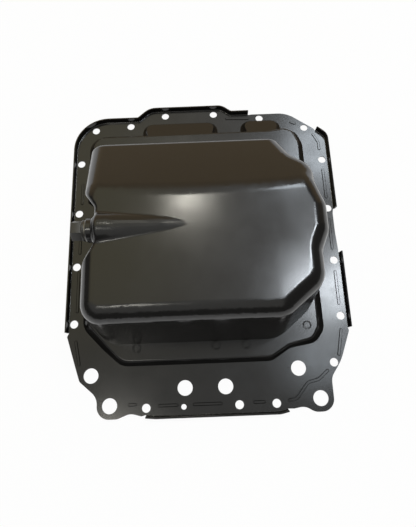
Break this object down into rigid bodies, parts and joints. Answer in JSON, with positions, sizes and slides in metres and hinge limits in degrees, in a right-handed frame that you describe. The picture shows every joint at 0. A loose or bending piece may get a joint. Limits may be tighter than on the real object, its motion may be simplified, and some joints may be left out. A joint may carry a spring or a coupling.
{
  "type": "engine oil pan",
  "caption": "Pressed sheet-steel engine oil pan with a deep sump, bolt flange with turned-up lips and a screwed drain plug.",
  "frame": {"origin": "middle of the flange on the gasket face", "axes": "+Z away from the engine, out of the gasket face towards the sump bottom; +Y along the engine, away from the flywheel end with the two ears; the drain plug points to -X"},
  "size_m": [0.3106, 0.3706, 0.1206],
  "materials": {
    "coated_steel": "semi-gloss black electrocoat",
    "plug_steel": "black coated steel",
    "washer_metal": "dull aluminium"
  },
  "bodies": {
    "pan": {"oil_pan": "coated_steel", "baffle_plate": "coated_steel", "drain_boss": "coated_steel"},
    "washer": {"drain_washer": "washer_metal"},
    "plug": {"drain_plug": "plug_steel"}
  },
  "joints": [
    {"name": "plug_travel", "type": "slide", "parent": "pan", "child": "washer", "axis": [-1, 0, 0], "range_m": [0, 0.012]},
    {"name": "plug_turn", "type": "hinge", "parent": "washer", "child": "plug", "pos_m": [-0.1095, -0.014, 0.104], "axis": [-1, 0, 0], "range_deg": [0, 3000]}
  ],
  "couplings": [
    {"joint": "plug_turn", "follows": "plug_travel", "rad_per_m": 4188.8}
  ]
}
